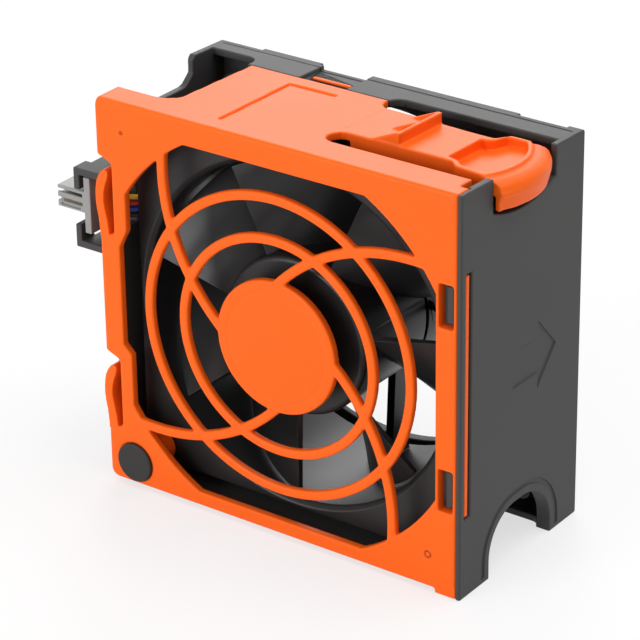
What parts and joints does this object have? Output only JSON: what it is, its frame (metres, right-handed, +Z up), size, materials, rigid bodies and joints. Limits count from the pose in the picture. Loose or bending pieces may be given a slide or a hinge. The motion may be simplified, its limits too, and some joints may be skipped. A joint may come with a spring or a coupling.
{
  "type": "server fan module",
  "caption": "Boxed axial fan unit with an open wire-like guard, a thumb latch on top, side springs and a floating plug.",
  "frame": {"origin": "underside of the housing's floor, at mid width, below the middle of the fan's depth", "axes": "+X to the thumb latch's side, +Y the way the air leaves, +Z up"},
  "size_m": [0.128, 0.0523, 0.1062],
  "materials": {
    "black_moulding": "fine moulded texture",
    "orange_moulding": "smooth satin moulding",
    "bumper_rubber": "smooth rubber",
    "connector_plastic": "smooth moulding",
    "contact_metal": "plated",
    "fan_plastic": "smooth moulding",
    "impeller_plastic": "satin moulding",
    "yoke_steel": "drawn",
    "magnet": "bonded ferrite",
    "shaft_steel": "ground",
    "spring_steel": "plain",
    "sleeve_brass": "turned",
    "bearing_steel": "ground",
    "core_steel": "stacked sheets",
    "coil_copper": "enamelled wire",
    "insulator_plastic": "moulded",
    "board": "solder mask",
    "board_parts": "moulded",
    "lead_yellow": "smooth insulation",
    "lead_red": "smooth insulation",
    "lead_blue": "smooth insulation",
    "lead_black": "smooth insulation"
  },
  "bodies": {
    "module": {"rear_housing": "black_moulding", "front_cover": "orange_moulding", "corner_bumper": "bumper_rubber", "fan_frame": "fan_plastic", "preload_spring": "spring_steel", "bearing_sleeve": "sleeve_brass", "front_bearing": "bearing_steel", "rear_bearing": "bearing_steel", "stator_core": "core_steel", "stator_coils": "coil_copper", "stator_insulator": "insulator_plastic", "driver_board": "board", "board_parts": "board_parts", "lead_yellow": "lead_yellow", "lead_red": "lead_red", "lead_blue": "lead_blue", "lead_black": "lead_black"},
    "rotor": {"impeller": "impeller_plastic", "rotor_yoke": "yoke_steel", "magnet_ring": "magnet", "shaft": "shaft_steel", "shaft_clip": "shaft_steel"},
    "latch": {"latch_arm": "orange_moulding"},
    "upper_spring": {"upper_leaf_spring": "orange_moulding"},
    "lower_spring": {"lower_leaf_spring": "orange_moulding"},
    "connector": {"connector_body": "connector_plastic", "connector_contacts": "contact_metal"}
  },
  "joints": [
    {"name": "impeller_spin", "type": "hinge", "parent": "module", "child": "rotor", "pos_m": [0, -0.005, 0.0516], "axis": [0, -1, 0], "continuous": true},
    {"name": "latch_press", "type": "hinge", "parent": "module", "child": "latch", "pos_m": [0.0082, 0, 0.10091], "axis": [0, 0.9993, -0.0378], "range_deg": [0, 4.5], "stiffness_Nm_per_rad": 0.5, "springref_deg": -2.86},
    {"name": "upper_spring_flex", "type": "hinge", "parent": "module", "child": "upper_spring", "pos_m": [-0.05, -0.02385, 0.0685], "axis": [0, 1, 0], "range_deg": [0, 3.4], "stiffness_Nm_per_rad": 0.2, "springref_deg": -2.86},
    {"name": "lower_spring_flex", "type": "hinge", "parent": "module", "child": "lower_spring", "pos_m": [-0.05, -0.02385, 0.0159], "axis": [0, 1, 0], "range_deg": [0, 3.4], "stiffness_Nm_per_rad": 0.2, "springref_deg": -2.86},
    {"name": "plug_float", "type": "slide", "parent": "module", "child": "connector", "axis": [0, 0, 1], "range_m": [-0.0018, 0.0002]}
  ]
}
